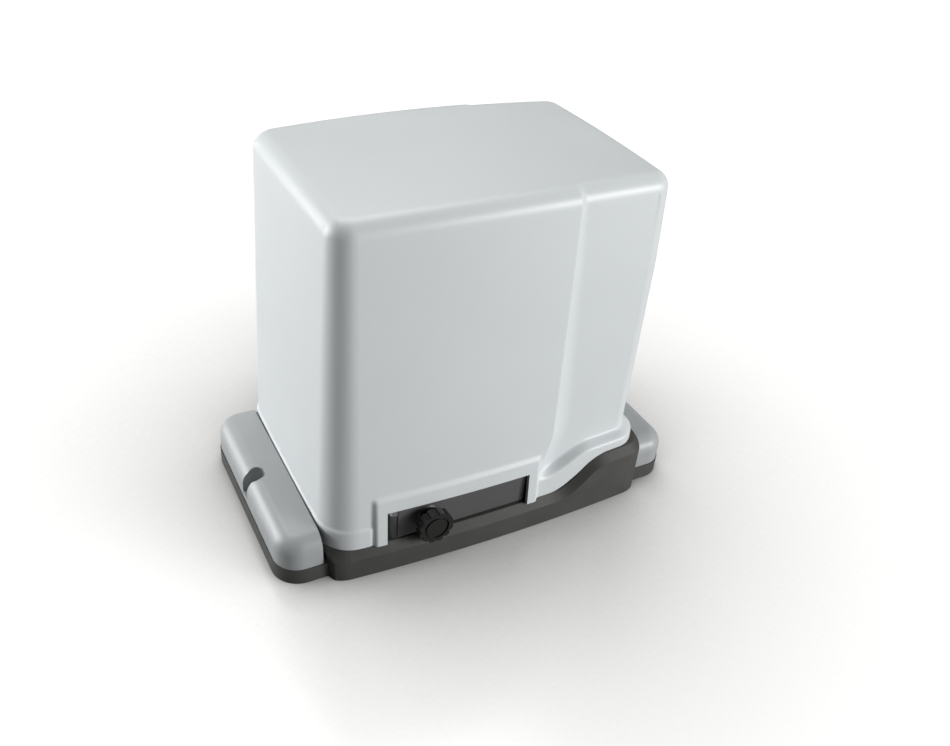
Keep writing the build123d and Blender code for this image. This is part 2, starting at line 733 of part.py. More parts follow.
worm_low = shaft_z - worm_length / 2 - 4
top_bearing_z = motor_foot_z + motor_height + 2
with BuildPart() as worm_bearings:
    z = worm_low - lower_bearing_width
    rod_z(worm_x, worm_y, z, worm_low, lower_bearing_radius)
    rod_z(worm_x, worm_y, z, worm_low, worm_journal_radius + running_gap, Mode.SUBTRACT)
    z = tower_top_z - upper_bearing_width
    rod_z(worm_x, worm_y, z, tower_top_z, upper_bearing_radius)
    rod_z(worm_x, worm_y, z, tower_top_z, upper_journal_radius + running_gap, Mode.SUBTRACT)
    z = top_bearing_z
    rod_z(worm_x, worm_y, z, z + lower_bearing_width, lower_bearing_radius)
    rod_z(worm_x, worm_y, z, z + lower_bearing_width, worm_journal_radius + running_gap, Mode.SUBTRACT)
keep(worm_bearings.part, "worm_bearings")

seal_y = rear_bearing_y + shaft_bearing_width
with BuildPart() as oil_seal:
    rod_y(shaft_x, shaft_z, seal_y, seal_y + seal_width, shaft_bearing_radius)
    rod_y(shaft_x, shaft_z, seal_y, seal_y + seal_width, journal_radius + part_gap, Mode.SUBTRACT)
    rod_y(shaft_x, shaft_z, seal_y + 4, seal_y + seal_width, journal_radius + 4, Mode.SUBTRACT)
keep(oil_seal.part, "oil_seal")


# Output shaft: hollow at the front for the push pin, slotted for the cross pin
ring_y = wheel_front_y + wheel_face + part_gap
ring_width = 12.0
cross_pin_radius = 3.0
push_pin_radius = 4.0
cross_y = ring_y + ring_width / 2
shaft_end_y = pinion_front_y + pinion_face + 4
key_width = 6.0
shaft_front_y = front_bearing_y - 1

with BuildPart() as output_shaft:
    rod_y(shaft_x, shaft_z, shaft_front_y, shaft_end_y, journal_radius)
    rod_y(shaft_x, shaft_z, front_bearing_y + shaft_bearing_width + 0.5, rear_bearing_y - 0.2, shaft_radius)
    rod_y(shaft_x, shaft_z, collar_y + 2, collar_y + 8, shaft_radius + 3.5)
    rod_y(
        shaft_x, shaft_z, shaft_front_y, cross_y + release_stroke + 6, push_pin_radius + running_gap,
        Mode.SUBTRACT,
    )
    with Locations(Location((shaft_x, cross_y + release_stroke / 2, shaft_z))):
        Box(
            2 * shaft_radius + 2, release_stroke + 2 * cross_pin_radius + 2 * part_gap,
            2 * cross_pin_radius + 2 * running_gap, mode=Mode.SUBTRACT,
        )
    block(
        shaft_x - key_width / 2, shaft_x + key_width / 2, pinion_front_y + 3,
        pinion_front_y + pinion_face - 3, shaft_z + journal_radius - 3, shaft_z + journal_radius + 5,
        Mode.SUBTRACT,
    )
    rod_y(shaft_x, shaft_z, shaft_end_y - 18, shaft_end_y, 3, Mode.SUBTRACT)
keep(output_shaft.part, "output_shaft")

with BuildPart() as cross_pin:
    with Locations(Location((shaft_x, cross_y, shaft_z), (0, 90, 0))):
        Cylinder(cross_pin_radius, 2 * (shaft_radius + 6))
keep(cross_pin.part, "cross_pin")

with BuildPart() as push_pin:
    rod_y(shaft_x, shaft_z, pin_end_y, cross_y - cross_pin_radius, push_pin_radius)
keep(push_pin.part, "push_pin")

dog_count = 6
dog_ring = 22.0
dog_radius = 3.5
with BuildPart() as clutch_ring:
    rod_y(shaft_x, shaft_z, ring_y, ring_y + ring_width, shaft_radius + 11)
    with Locations(along_y(shaft_x, ring_y - release_stroke + 0.6, shaft_z)):
        with PolarLocations(dog_ring - 3, dog_count):
            Cylinder(dog_radius, release_stroke, align=UP)
    rod_y(
        shaft_x, shaft_z, ring_y - release_stroke, ring_y + ring_width, shaft_radius + running_gap,
        Mode.SUBTRACT,
    )
    with Locations(Location((shaft_x, cross_y, shaft_z), (0, 90, 0))):
        Cylinder(cross_pin_radius, 2 * (shaft_radius + 6), mode=Mode.SUBTRACT)
keep(clutch_ring.part, "clutch_ring")


# Clutch spring between the ring and the shaft's collar
spring_wire = 1.2
spring_coils = 4
spring_length = collar_y + 2 - ring_y - ring_width - part_gap
coil_radius = shaft_radius + 2.4
coil_start = along_y(shaft_x, ring_y + ring_width + part_gap / 2 + spring_wire, shaft_z)
with BuildPart() as clutch_spring:
    rise = spring_length - 2 * spring_wire
    with BuildLine() as coil:
        Helix(pitch=rise / spring_coils, height=rise, radius=coil_radius)
    with BuildSketch(Plane(coil.line @ 0, z_dir=coil.line % 0)):
        Circle(spring_wire)
    sweep(path=coil.line, is_frenet=True)
clutch_spring.part.location = coil_start.location
keep(clutch_spring.part, "clutch_spring")


# Worm wheel: slots tilted to the worm's lead angle leave the teeth
thread_pitch = pi * gear_module
lead_slope = gear_module / (2 * worm_radius)
flank_slope = tan(radians(20))
tooth_root = 1.25 * gear_module
half_space = pi * gear_module / 4

with BuildPart() as wheel_slot:
    with BuildSketch():
        with BuildLine():
            inner = wheel_pitch_radius - tooth_root
            outer = wheel_pitch_radius + 1.5 * gear_module
            low = half_space - tooth_root * flank_slope
            high = half_space + 1.5 * gear_module * flank_slope
            Polyline((inner, -low), (outer, -high), (outer, high), (inner, low), (inner, -low))
        make_face()
    extrude(amount=wheel_face, both=True, dir=(0, lead_slope, 1))

with BuildPart() as worm_wheel:
    Cylinder(wheel_pitch_radius + gear_module, wheel_face)
    Cylinder(shaft_radius + running_gap, wheel_face, mode=Mode.SUBTRACT)
    with PolarLocations(dog_ring - 3, dog_count):
        Cylinder(dog_radius + part_gap, wheel_face, mode=Mode.SUBTRACT)
    with PolarLocations(0, wheel_teeth):
        add(wheel_slot.part, mode=Mode.SUBTRACT)
worm_wheel.part.location = along_y(shaft_x, worm_y, shaft_z).location
keep(worm_wheel.part, "worm_wheel")

# Drive pinion for the rack, keyed to the shaft and held by a screw and washer
pinion_outer = pinion_pitch_radius + pinion_module
pinion_root = pinion_pitch_radius - 1.25 * pinion_module


def tooth(module, teeth):
    """One gear tooth seen along the axis: flanks as arcs through root, pitch and tip."""
    pitch_radius = module * teeth / 2
    root = pitch_radius - 1.25 * module
    tip = pitch_radius + module
    half = pi / (2 * teeth) - 0.012

    def at(radius, angle):
        return (radius * cos(angle), radius * sin(angle))

    with BuildSketch() as profile:
        with BuildLine():
            Line(at(root - 1, -half * 1.7), at(root, -half * 1.7))
            ThreePointArc(at(root, -half * 1.7), at(pitch_radius, -half), at(tip, -half * 0.42))
            ThreePointArc(at(tip, -half * 0.42), at(tip, 0), at(tip, half * 0.42))
            ThreePointArc(at(tip, half * 0.42), at(pitch_radius, half), at(root, half * 1.7))
            Line(at(root, half * 1.7), at(root - 1, half * 1.7))
            Line(at(root - 1, half * 1.7), at(root - 1, -half * 1.7))
        make_face()
    return profile.sketch


with BuildPart() as drive_pinion:
    with BuildSketch(along_y(shaft_x, pinion_front_y, shaft_z)):
        Circle(pinion_root)
        with PolarLocations(0, pinion_teeth):
            add(tooth(pinion_module, pinion_teeth))
        Circle(journal_radius + 0.02, mode=Mode.SUBTRACT)
    extrude(amount=pinion_face)
    block(
        shaft_x - key_width / 2, shaft_x + key_width / 2, pinion_front_y, pinion_front_y + pinion_face,
        shaft_z, shaft_z + journal_radius + 3, Mode.SUBTRACT,
    )
keep(drive_pinion.part, "drive_pinion")

with BuildPart() as pinion_key:
    block(
        shaft_x - key_width / 2, shaft_x + key_width / 2, pinion_front_y + 3,
        pinion_front_y + pinion_face - 3, shaft_z + journal_radius - 3, shaft_z + journal_radius + 2.8,
    )
keep(pinion_key.part, "pinion_key")

with BuildPart() as pinion_screw:
    rod_y(shaft_x, shaft_z, shaft_end_y - 16, shaft_end_y, 3)
    rod_y(shaft_x, shaft_z, shaft_end_y, shaft_end_y + 2, 13)
    with BuildSketch(along_y(shaft_x, shaft_end_y + 2, shaft_z)):
        RegularPolygon(5.8, 6)
    extrude(amount=4)
keep(pinion_screw.part, "pinion_screw")


# Worm shaft, which is the motor's shaft too, with one right-hand thread
shaft_top_z = top_bearing_z + lower_bearing_width
thread_turns = 5
thread_low_z = shaft_z - thread_turns / 2 * thread_pitch
thread_root = worm_radius - tooth_root

with BuildPart() as worm_thread:
    with BuildLine() as thread_line:
        Helix(pitch=thread_pitch, height=thread_turns * thread_pitch, radius=worm_radius)
    with BuildSketch(Plane((worm_radius, 0, 0), x_dir=(1, 0, 0), z_dir=(0, 1, 0))):
        with BuildLine():
            half = half_space - thread_backlash / 2
            low = half + (tooth_root + 0.3) * flank_slope
            high = half - gear_module * flank_slope
            Polyline(
                (-tooth_root - 0.3, -low), (gear_module, -high), (gear_module, high),
                (-tooth_root - 0.3, low), (-tooth_root - 0.3, -low),
            )
        make_face()
    sweep(path=thread_line.line, is_frenet=True)

with BuildPart() as worm_shaft:
    rod_z(worm_x, worm_y, worm_low - lower_bearing_width, shaft_top_z, worm_journal_radius)
    rod_z(worm_x, worm_y, tower_top_z - upper_bearing_width - 2, top_bearing_z - 4, upper_journal_radius)
    rod_z(worm_x, worm_y, shaft_z - worm_length / 2, shaft_z + worm_length / 2, thread_root)
    with Locations((worm_x, worm_y, thread_low_z)):
        add(worm_thread.part)
keep(worm_shaft.part, "worm_shaft")

core_z = motor_foot_z + 16.0
with BuildPart() as rotor_core:
    rod_z(worm_x, worm_y, core_z + 2, core_z + 2 + rotor_length, stator_bore - rotor_gap)
    rod_z(worm_x, worm_y, core_z + 2, core_z + 2 + rotor_length, upper_journal_radius, Mode.SUBTRACT)
keep(rotor_core.part, "rotor_core")

with BuildPart() as stator_core:
    rod_z(worm_x, worm_y, core_z, core_z + stator_length, motor_radius - motor_wall)
    rod_z(worm_x, worm_y, core_z, core_z + stator_length, stator_bore, Mode.SUBTRACT)
keep(stator_core.part, "stator_core")

with BuildPart() as stator_windings:
    for z, height in ((motor_foot_z + 4, core_z - motor_foot_z - 4), (core_z + stator_length, 9)):
        rod_z(worm_x, worm_y, z, z + height, motor_radius - motor_wall - 5)
        rod_z(worm_x, worm_y, z, z + height, stator_bore + 2, Mode.SUBTRACT)
keep(stator_windings.part, "stator_windings")

with BuildPart() as motor_casing:
    rod_z(worm_x, worm_y, motor_foot_z, motor_foot_z + motor_height, motor_radius)
    rod_z(
        worm_x, worm_y, motor_foot_z, motor_foot_z + motor_height, motor_radius - motor_wall,
        Mode.SUBTRACT,
    )
keep(motor_casing.part, "motor_casing")

cap_z = motor_foot_z + motor_height
with BuildPart() as motor_end_cap:
    rod_z(worm_x, worm_y, cap_z, cap_z + 6, motor_radius)
    with Locations((worm_x, worm_y, cap_z + 6)):
        Cone(motor_radius - 8, 30, end_cap_height - 6, align=UP)
    rod_z(worm_x, worm_y, cap_z, top_bearing_z, stator_bore, Mode.SUBTRACT)
    rod_z(
        worm_x, worm_y, cap_z, top_bearing_z + lower_bearing_width, lower_bearing_radius, Mode.SUBTRACT
    )
    with Locations((worm_x, worm_y, cap_z)):
        with PolarLocations(motor_radius - 4, 4, start_angle=45):
            Cylinder(2 + running_gap, 20, align=UP, mode=Mode.SUBTRACT)
keep(motor_end_cap.part, "motor_end_cap")

with BuildPart() as motor_screws:
    with Locations((worm_x, worm_y, cap_z + 6)):
        with PolarLocations(motor_radius - 4, 4, start_angle=45):
            Cylinder(3.5, 3.5, align=UP)
            Cylinder(2, 6, align=(Align.CENTER, Align.CENTER, Align.MAX))
keep(motor_screws.part, "motor_screws")


# Control side: a tray on two legs carries the board, beside the transformer and capacitor
tray_left = -22.0
tray_low, tray_high = 60.0, 160.0
tray_y = -58.0
tray_skin = 3.0
stand_off = 5.0
board_thickness = 1.6
board_y = tray_y - stand_off - board_thickness
board_inset = 5.0
board_holes = [
    (x, z) for x in (tray_left + 10, tray_right - 10) for z in (tray_low + 10, tray_high - 10)
]

with BuildPart() as board_tray:
    block(tray_left, tray_right, tray_y, tray_y + tray_skin, tray_low, tray_high)
    block(tray_left, tray_right, tray_y - 6, tray_y + tray_skin, tray_low, tray_low + 2.5)
    block(tray_left, tray_left + 2.5, tray_y - 6, tray_y + tray_skin, tray_low, tray_high)
    block(tray_right - 2.5, tray_right, tray_y - 6, tray_y + tray_skin, tray_low, tray_high)
    for x, y in tray_legs:
        block(x - 8, x + 8, tray_y, tray_y + tray_skin, floor_thickness, tray_low)
        block(x - 8, x + 8, tray_y, tray_y + 16, floor_thickness, floor_thickness + 3)
    for x, z in board_holes:
        rod_y(x, z, tray_y - stand_off, tray_y, 3.5)
keep(board_tray.part, "board_tray")

with BuildPart() as control_board:
    block(
        tray_left + board_inset, tray_right - board_inset, board_y, board_y + board_thickness,
        tray_low + board_inset, tray_high - board_inset,
    )
keep(control_board.part, "control_board")

with BuildPart() as board_screws:
    for x, z in board_holes:
        rod_y(x, z, board_y - 2.2, board_y, 2.8)
keep(board_screws.part, "board_screws")

# Parts soldered to the board, each standing on its front face
terminal_height = 12.0
terminal_rows = [(14, 74.0), (66, 74.0)]
with BuildPart() as terminal_blocks:
    for x, z in terminal_rows:
        block(x - 20, x + 22, board_y - terminal_height, board_y, z - 6, z + 6)
        block(x - 20, x + 22, board_y - terminal_height, board_y - 9, z + 2, z + 6, Mode.SUBTRACT)
        for k in range(6):
            rod_y(x - 17 + 7 * k, z - 2, board_y - terminal_height, board_y - terminal_height + 3, 2, Mode.SUBTRACT)
keep(terminal_blocks.part, "terminal_blocks")

with BuildPart() as relays:
    for x in (8.0, 40.0):
        block(x - 9.5, x + 9.5, board_y - 16, board_y, 134, 148)
keep(relays.part, "relays")

with BuildPart() as fuse_holder:
    block(70, 94, board_y - 6, board_y, 136, 145)
    rod_y(74, 140.5, board_y - 10, board_y - 6, 3.4)
    rod_y(90, 140.5, board_y - 10, board_y - 6, 3.4)
    with Locations(Location((82, board_y - 8.4, 140.5), (0, 90, 0))):
        Cylinder(2.6, 20)
keep(fuse_holder.part, "fuse_holder")

with BuildPart() as receiver_module:
    block(60, 96, board_y - 8, board_y - 6.6, 104, 126)
    block(62, 94, board_y - 6.6, board_y, 104, 107)
    block(66, 78, board_y - 11, board_y - 8, 110, 120)
keep(receiver_module.part, "receiver_module")

# Two set-up buttons and three trimmers, which move
button_z = 100.0
button_travel = 0.3
trimmer_z = 118.0
with BuildPart() as button_bodies:
    for x in (-6.0, 10.0):
        block(x - 3, x + 3, board_y - 4, board_y, button_z - 3, button_z + 3)
        rod_y(x, button_z, board_y - 4, board_y - 4 + 1.5, 1.8, Mode.SUBTRACT)
keep(button_bodies.part, "button_bodies")
for x, name in ((-6.0, "left"), (10.0, "right")):
    with BuildPart() as button:
        rod_y(x, button_z, board_y - 6, board_y - 4 + 1.1, 1.75)
    keep(button.part, f"set_button_{name}")

trimmer_places = (-8.0, 8.0, 24.0)
with BuildPart() as trimmer_bodies:
    for x in trimmer_places:
        block(x - 5, x + 5, board_y - 4.5, board_y, trimmer_z - 5, trimmer_z + 5)
        rod_y(x, trimmer_z, board_y - 4.5, board_y - 2.5, 3.3, Mode.SUBTRACT)
keep(trimmer_bodies.part, "trimmer_bodies")
for k, x in enumerate(trimmer_places):
    with BuildPart() as trimmer:
        rod_y(x, trimmer_z, board_y - 6, board_y - 2.7, 3.25)
        block(x - 0.5, x + 0.5, board_y - 7, board_y - 5, trimmer_z - 4, trimmer_z + 4, Mode.SUBTRACT)
    keep(trimmer.part, f"trimmer_{k + 1}")

# Transformer on a foot plate, and the motor's run capacitor in a clamp
transformer_x, transformer_y = hood_length / 2 - transformer_set_in, 16.0
with BuildPart() as transformer:
    block(transformer_x - 30, transformer_x + 30, transformer_y - 20, transformer_y + 20, 6, 8)
    block(transformer_x - 28, transformer_x + 28, transformer_y - 11, transformer_y + 11, 8, 56)
    block(transformer_x - 17, transformer_x + 17, transformer_y - 20, transformer_y + 20, 16, 48)
keep(transformer.part, "transformer")

capacitor_x, capacitor_y, capacitor_radius = hood_length / 2 - capacitor_set_in, 59.0, 16.0
with BuildPart() as capacitor:
    rod_z(capacitor_x, capacitor_y, floor_thickness, 86, capacitor_radius)
    rod_z(capacitor_x, capacitor_y, 86, 88, capacitor_radius - 3)
    block(capacitor_x - 5, capacitor_x - 3, capacitor_y - 3, capacitor_y + 3, 88, 96)
    block(capacitor_x + 3, capacitor_x + 5, capacitor_y - 3, capacitor_y + 3, 88, 96)
keep(capacitor.part, "capacitor")

with BuildPart() as capacitor_clamp:
    rod_z(capacitor_x, capacitor_y, 30, 38, capacitor_radius + 2.3)
    block(capacitor_x - 25, capacitor_x - 10, capacitor_y - 4, capacitor_y + 4, 30, 38)
    rod_z(capacitor_x, capacitor_y, 30, 38, capacitor_radius + 0.02, Mode.SUBTRACT)
    block(capacitor_x - 25, capacitor_x - 22, capacitor_y - 4, capacitor_y + 4, floor_thickness, 38)
keep(capacitor_clamp.part, "capacitor_clamp")

# Cable membrane in the base's window, and the earth terminal
with BuildPart() as cable_grommet:
    x, y, wide, deep = cable_window
    with BuildSketch(Plane.XY.offset(1)):
        with Locations((x, y)):
            RectangleRounded(wide - 0.1, deep - 0.1, 6)
    extrude(amount=floor_thickness + 1)
    with BuildSketch(Plane.XY.offset(floor_thickness)):
        with Locations((x, y)):
            RectangleRounded(wide + 6, deep + 6, 8)
    extrude(amount=2)
    with BuildSketch(Plane.XY.offset(1)):
        with Locations((x, y)):
            RectangleRounded(wide - 7, deep - 7, 4)
    extrude(amount=20, mode=Mode.SUBTRACT)
keep(cable_grommet.part, "cable_grommet")

with BuildPart() as earth_terminal:
    rod_z(38, 60, floor_thickness, 16, 2.5)
    rod_z(38, 60, floor_thickness, 8, 6)
    with BuildSketch(Plane.XY.offset(8)):
        with Locations((38, 60)):
            RegularPolygon(4.6, 6)
    extrude(amount=4)
keep(earth_terminal.part, "earth_terminal")

# Release bracket: a folded plate that the slider rides on, with two shoulder screws
bracket_left, bracket_right = barrel_x - 8, shaft_x + 14
bracket_skin = 3.0
shoulder_radius = 3.0
with BuildPart() as release_bracket:
    wall_y = guide_front_y + 8
    block(bracket_left, bracket_right, wall_y, wall_y + bracket_skin, floor_thickness, guide_z)
    block(bracket_left, bracket_right, guide_front_y, guide_front_y + 16, guide_z, guide_z + bracket_skin)
    block(bracket_left, bracket_right, wall_y, wall_y + 14, floor_thickness, floor_thickness + bracket_skin)
    for x, y in slider_slots:
        screw_y = y + release_stroke / 2
        rod_z(x, screw_y, guide_z + bracket_skin, slider_top + part_gap, shoulder_radius)
        rod_z(x, screw_y, slider_top + part_gap, slider_top + part_gap + 2, shoulder_radius + 1.4)
keep(release_bracket.part, "release_bracket")

# Limit switch at the back: its box on the gearbox, and a sprung rod that the rack's stops push
limit_x, limit_z = 2.0, 104.0
limit_box_back_y = hood_depth / 2 - 8.0
limit_rod_y = hood_depth / 2 + 5.0
with BuildPart() as limit_switch_box:
    block(shaft_x + 22, limit_x + 18, limit_box_back_y - 26, limit_box_back_y, limit_z - 16, limit_z + 16)
    rod_y(shaft_x, shaft_z, limit_box_back_y - 30, limit_box_back_y + 10, neck_radius + part_gap, Mode.SUBTRACT)
    rod_y(limit_x, limit_z, limit_box_back_y - 10, limit_box_back_y, 3 + running_gap, Mode.SUBTRACT)
keep(limit_switch_box.part, "limit_switch_box")

with BuildPart() as limit_lever:
    rod_y(limit_x, limit_z, limit_box_back_y - 9.5, limit_rod_y + 3, 3)
    rod_y(limit_x, limit_z, limit_rod_y - 3.5, limit_rod_y + 3.5, 6)
    rod_z(limit_x, limit_rod_y, limit_z, limit_z + 64, 2)
    rod_z(limit_x, limit_rod_y, limit_z + 5, limit_z + 26, 3.2)
keep(limit_lever.part, "limit_lever")
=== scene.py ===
"""Sliding gate motor: a light grey moulded hood over a dark cast base, with its release door
and knob in front, and the geared motor, board and pinion as they are under the hood.
Lengths are in millimetres until a mesh is made, and in metres after that."""
import json

import bmesh
import bpy
import numpy as np
from mathutils import Matrix, Vector


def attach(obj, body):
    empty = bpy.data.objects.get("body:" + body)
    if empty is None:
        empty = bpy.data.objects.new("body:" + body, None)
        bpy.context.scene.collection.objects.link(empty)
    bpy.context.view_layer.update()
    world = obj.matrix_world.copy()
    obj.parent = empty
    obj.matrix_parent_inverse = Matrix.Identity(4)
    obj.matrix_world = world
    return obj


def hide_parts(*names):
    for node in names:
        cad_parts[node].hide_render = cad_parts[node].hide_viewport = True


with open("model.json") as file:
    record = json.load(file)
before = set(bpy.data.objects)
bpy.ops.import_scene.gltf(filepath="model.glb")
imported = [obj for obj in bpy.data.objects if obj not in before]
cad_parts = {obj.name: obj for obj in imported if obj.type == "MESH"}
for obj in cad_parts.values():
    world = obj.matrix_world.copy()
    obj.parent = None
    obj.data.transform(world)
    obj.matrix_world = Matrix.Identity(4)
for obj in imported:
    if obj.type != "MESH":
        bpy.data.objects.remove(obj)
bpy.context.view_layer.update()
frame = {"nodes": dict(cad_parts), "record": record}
nodes = frame["nodes"]

MM = 0.001

# Mesh cleaning: the distances are in metres, and edges turned more than this stay sharp
merge_reach, shortest_edge = 2e-6, 1e-6
sharp_angle = np.radians(40.0)

# Hood sizes, the same as the solid hood's
hood_length, hood_depth, hood_top = 262.0, 188.0, 268.0
front_bow, side_bow = 6.0, 1.0
corner_radius = 22.0
draft_slope = np.tan(np.radians(2.0))
crown_radius = 2800.0
top_round = 12.0
wall = 3.0
rim_low, rim_rise = 22.0, 23.0
wave_start, wave_end = 45.0, 97.0
joint_gap = 0.35

# Sunk strip at the right end. Its crease follows the photo, and stands left of the solid's
crease_x, crease_flare, flare_height = 42.0, 11.0, 40.0
crease_top_width, crease_spread = 6.0, 16.0
valley_low, valley_rise = 41.5, 14.5
valley_start, valley_end = 38.0, 82.0
lip_below, lip_above = 4.5, 2.0
strip_depth, strip_least = 9.0, 2.2
strip_fade_z = hood_top - top_round

# Release door opening with its bead, the skirt at the left, and the arch at the back
door_left, door_right, door_top = -88.5, 23.0, 50.0
bead_side, bead_top, bead_out, bead_edge = 9.0, 12.0, 3.5, 2.2
skirt_right, skirt_top, skirt_out, skirt_edge = -99.0, 38.0, 1.2, 1.0
arch_left, arch_right, arch_top, arch_round = -96.0, 18.0, 136.0, 30.0
jamb_step = 0.06

# How far in from the plan's front or back a point still belongs to that face
face_reach = 15.0
front_limit, back_limit = face_reach - hood_depth / 2, hood_depth / 2 - face_reach

# Half lengths of the plan's straight stretches, and how far short of a round corner the
# front and back stop at the right, and the ends at both corners
straight_x = hood_length / 2 - side_bow - corner_radius
straight_y = hood_depth / 2 - front_bow - corner_radius
corner_gap = 0.5
corner_steps, side_columns = 14, 22

# Columns stand closer within these distances of the jambs and of the arch's ends
jamb_flat, bead_reach_left, bead_reach_right = 5.0, 12.0, 13.0
arch_steep, arch_turn = 1.0, 8.0

# Rows up the wall by height, and in over the crown by the share of the way out from its
# middle, each as a stop and the number of rows to it
wall_rows = ((76.0, 54), (110.0, 17), (150.0, 14), (210.0, 14), (250.0, 10))
crown_rows = ((0.9, 3), (0.02, 14), (0.0, 1))
round_rows = 12
blend_low, blend_high = 225.0, 250.0


def smooth_step(value, start, end):
    """Zero before start, one after end, and a cubic between them that is level at both ends."""
    part = np.clip((value - start) / (end - start), 0.0, 1.0)
    return part * part * (3.0 - 2.0 * part)


def new_object(name, data):
    """An object in the scene that shows the given mesh, lamp or camera."""
    shown = bpy.data.objects.new(name, data)
    bpy.context.scene.collection.objects.link(shown)
    return shown


def make_mesh(name, points, faces):
    """A smooth shaded mesh object from points in millimetres, with doubles merged."""
    mesh = bpy.data.meshes.new(name)
    mesh.from_pydata((points * MM).tolist(), [], faces.tolist())
    work = bmesh.new()
    work.from_mesh(mesh)
    bmesh.ops.remove_doubles(work, verts=work.verts, dist=merge_reach)
    bmesh.ops.dissolve_degenerate(work, edges=work.edges, dist=shortest_edge)
    work.to_mesh(mesh)
    work.free()
    mesh.polygons.foreach_set("use_smooth", [True] * len(mesh.polygons))
    mesh.set_sharp_from_angle(angle=sharp_angle)
    mesh.update()
    return new_object(name, mesh)


def ring_faces(rows, columns, start=0):
    """Quads between neighbouring rows of a grid whose rows close on themselves. Its points are
    counted from start, row by row."""
    row = np.arange(rows - 1)[:, None]
    column = np.arange(columns)[None, :]
    after = (column + 1) % columns
    low, high = row * columns, (row + 1) * columns
    quads = np.stack([low + column, low + after, high + after, high + column], -1)
    return quads.reshape(-1, 4) + start


def spread(first, *stops):
    """Values from the first one on, each stop written as (end value, number of steps to it)."""
    values = [np.array([first])]
    for end, steps in stops:
        begin = values[-1][-1]
        values.append(np.linspace(begin, end, steps + 1)[1:])
    return np.concatenate(values)


def rounded_plan(front_x, back_x, side_y):
    """Plan of the hood as a closed run of points, with the outward normal at each.
    It is a rectangle with round corners whose front and back bow out by front_bow and whose
    ends bow out by side_bow, each bow falling with the square of the distance from the middle."""
    half_x = hood_length / 2 - side_bow
    half_y = hood_depth / 2 - front_bow
    turn = np.radians(np.linspace(0, 90, corner_steps + 1))

    def corner(sign_x, sign_y, first):
        """A quarter circle round its corner's centre, starting at the angle first in degrees."""
        angle = turn + np.radians(first)
        centre = np.array([sign_x * (half_x - corner_radius), sign_y * (half_y - corner_radius)])
        return centre + corner_radius * np.stack([np.cos(angle), np.sin(angle)], -1)

    front = np.stack([front_x, np.full(len(front_x), -half_y)], -1)
    right = np.stack([np.full(len(side_y), half_x), side_y], -1)
    back = np.stack([back_x[::-1], np.full(len(back_x), half_y)], -1)
    left = np.stack([np.full(len(side_y), -half_x), side_y[::-1]], -1)
    run = np.concatenate([
        front, corner(1, -1, -90), right, corner(1, 1, 0), back, corner(-1, 1, 90), left,
        corner(-1, -1, 180),
    ])
    x, y = run[:, 0].copy(), run[:, 1].copy()
    run[:, 0] += np.sign(x) * side_bow * (1 - (y / half_y) ** 2)
    run[:, 1] += np.sign(y) * front_bow * (1 - (x / half_x) ** 2)
    ahead = np.roll(run, -1, 0) - np.roll(run, 1, 0)
    normal = np.stack([ahead[:, 1], -ahead[:, 0]], -1)
    normal /= np.linalg.norm(normal, axis=1, keepdims=True)
    return run, normal


def rim_height(x):
    """Height of the joint line: level, then a smooth wave up to the right."""
    return rim_low + rim_rise * smooth_step(x, wave_start, wave_end)


def lower_edge(plan):
    """Where each column of the hood starts: the joint line, raised over the door in front and
    over the round cornered arch at the back. Both take in the columns at their very ends."""
    x, y = plan[:, 0], plan[:, 1]
    edge = rim_height(x) + joint_gap
    near = jamb_step / 2
    over_door = (y < front_limit) & (x > door_left - near) & (x < door_right + near)
    edge = np.where(over_door, door_top, edge)
    reach = np.minimum(x - arch_left, arch_right - x)
    short = arch_round - np.clip(reach, 0, arch_round)
    arch = arch_top - arch_round + np.sqrt(np.maximum(arch_round ** 2 - short ** 2, 0))
    return np.where((y > back_limit) & (reach > -near), arch, edge)


def strip_sink(x, z, inset):
    """How far the strip lies inside the drafted wall, which stands in by inset. Its floor runs
    straight from strip_depth at the joint line's raised end to the wall's own draft at
    strip_fade_z, and stays strip_least inside the wall. The crease is one less a square across
    its width, which grows downwards, and the lip over the valley is a smooth step."""
    flare = 1 - smooth_step(z, valley_low, valley_low + flare_height)
    crease = crease_x - crease_flare * flare
    down = np.clip((strip_fade_z - z) / (strip_fade_z - valley_low), 0.0, 1.0)
    across_part = np.clip((x - crease) / (crease_top_width + crease_spread * down), 0.0, 1.0)
    across = 1 - (1 - across_part) ** 2
    valley = valley_low + valley_rise * smooth_step(x, valley_start, valley_end)
    above_lip = smooth_step(z, valley - lip_below, valley + lip_above)
    floor_inset = strip_depth + (draft_slope * (strip_fade_z - rim_low) - strip_depth) * (
        (z - rim_low - rim_rise) / (strip_fade_z - rim_low - rim_rise)
    )
    return np.maximum(floor_inset - inset, strip_least) * across * above_lip


def bead_swell(x, y, z, inset):
    """How far the bead round the door stands out of the drafted wall, on the front alone. Its
    face leans in along a straight line, and its sides and top are smooth steps."""
    bead_inset = bead_out * ((z - rim_low) / (2 * bead_top + door_top - rim_low) - 1.0)
    left, right, top = door_left - bead_side, door_right + bead_side, door_top + bead_top
    in_bead = (
        smooth_step(x, left - bead_edge, left + bead_edge)
        * (1 - smooth_step(x, right - bead_edge, right + bead_edge))
        * (1 - smooth_step(z, top - bead_edge, top + bead_edge))
        * (y < front_limit)
    )
    return np.maximum(inset - bead_inset, 0.0) * in_bead


def draw_in(x, y, z):
    """How far the wall stands inside the plan at height z: the draft and the sunk strip, less
    the bead round the door and the skirt at the left."""
    inset = draft_slope * (z - rim_low)
    in_skirt = (1 - smooth_step(x, skirt_right - skirt_edge, skirt_right + skirt_edge)) * (
        1 - smooth_step(z, skirt_top - skirt_edge, skirt_top + skirt_edge)
    )
    return inset + strip_sink(x, z, inset) - bead_swell(x, y, z, inset) - skirt_out * in_skirt


